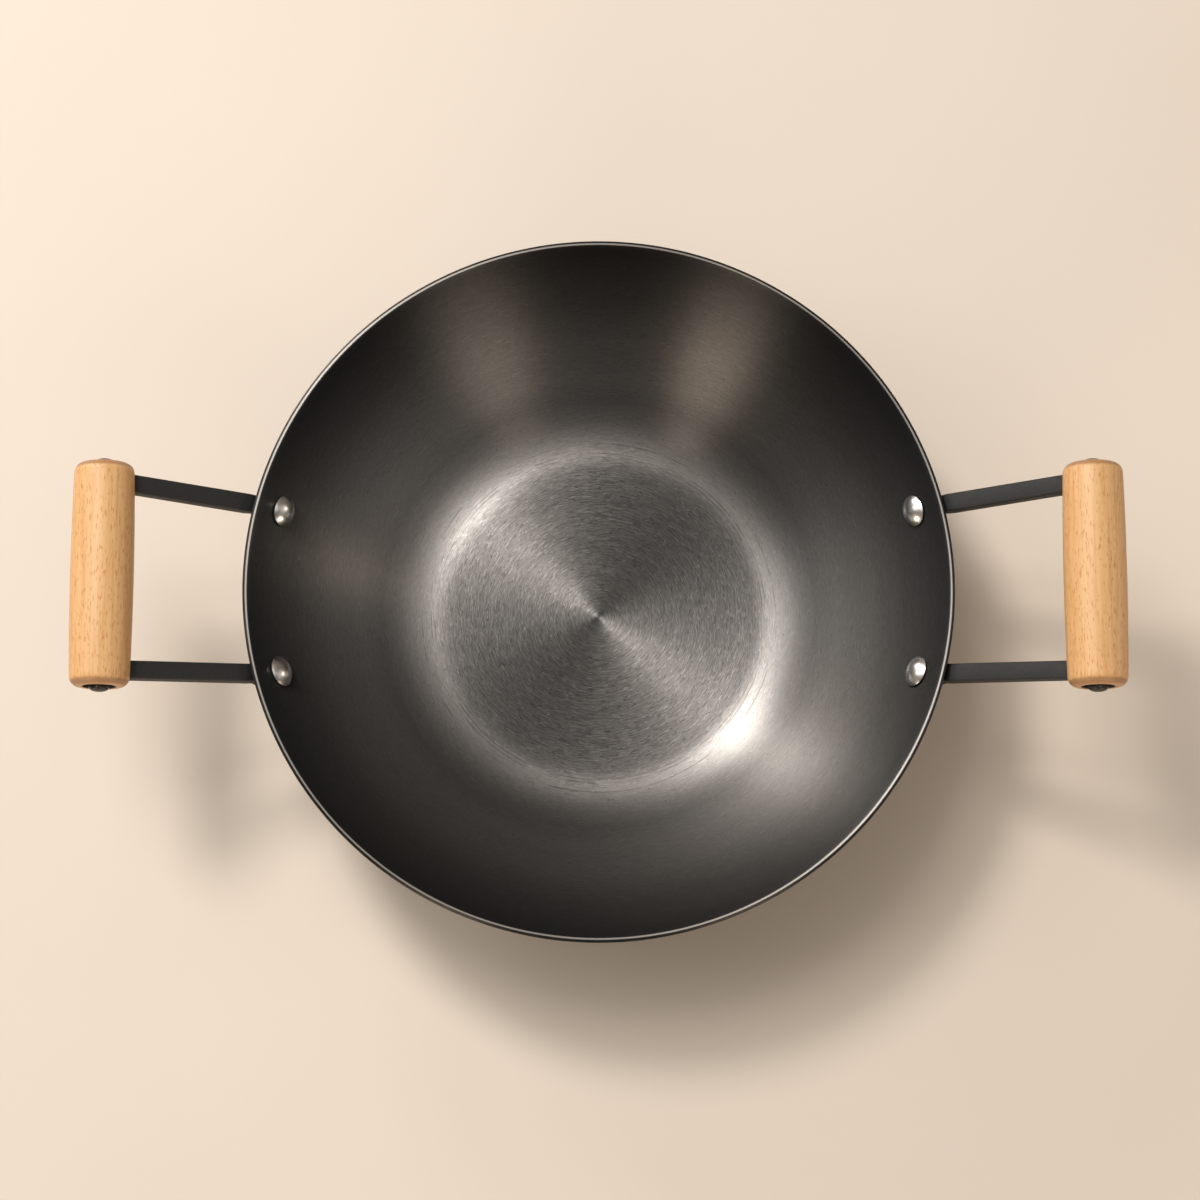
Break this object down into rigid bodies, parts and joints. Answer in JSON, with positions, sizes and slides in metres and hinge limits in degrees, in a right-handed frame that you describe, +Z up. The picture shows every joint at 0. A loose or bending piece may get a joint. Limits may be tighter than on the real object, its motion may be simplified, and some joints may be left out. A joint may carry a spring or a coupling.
{
  "type": "wok",
  "caption": "Flat-based iron wok with a brushed inside and two side handles, each a round beech grip on a tie rod between riveted steel arms.",
  "frame": {"origin": "centre of the base's underside, on the surface that the wok stands on", "axes": "+Z up out of the bowl, +X from the left handle to the right handle, +Y away from the viewer"},
  "size_m": [0.466, 0.3198, 0.1279],
  "materials": {
    "iron": "brushed in circles, dark",
    "black_coat": "fine matt powder coat",
    "stainless": "satin",
    "beech": "satin varnish",
    "black_steel": "black oxide"
  },
  "bodies": {
    "root": {"bowl": "iron", "left_front_arm": "black_coat", "left_rear_arm": "black_coat", "right_front_arm": "black_coat", "right_rear_arm": "black_coat", "left_front_rivet": "stainless", "left_rear_rivet": "stainless", "right_front_rivet": "stainless", "right_rear_rivet": "stainless", "left_grip": "beech", "right_grip": "beech", "left_tie_rod": "black_steel", "right_tie_rod": "black_steel", "left_front_washer": "black_steel", "left_rear_washer": "black_steel", "right_front_washer": "black_steel", "right_rear_washer": "black_steel", "left_front_cap_nut": "black_steel", "left_rear_cap_nut": "black_steel", "right_front_cap_nut": "black_steel", "right_rear_cap_nut": "black_steel"}
  },
  "joints": []
}
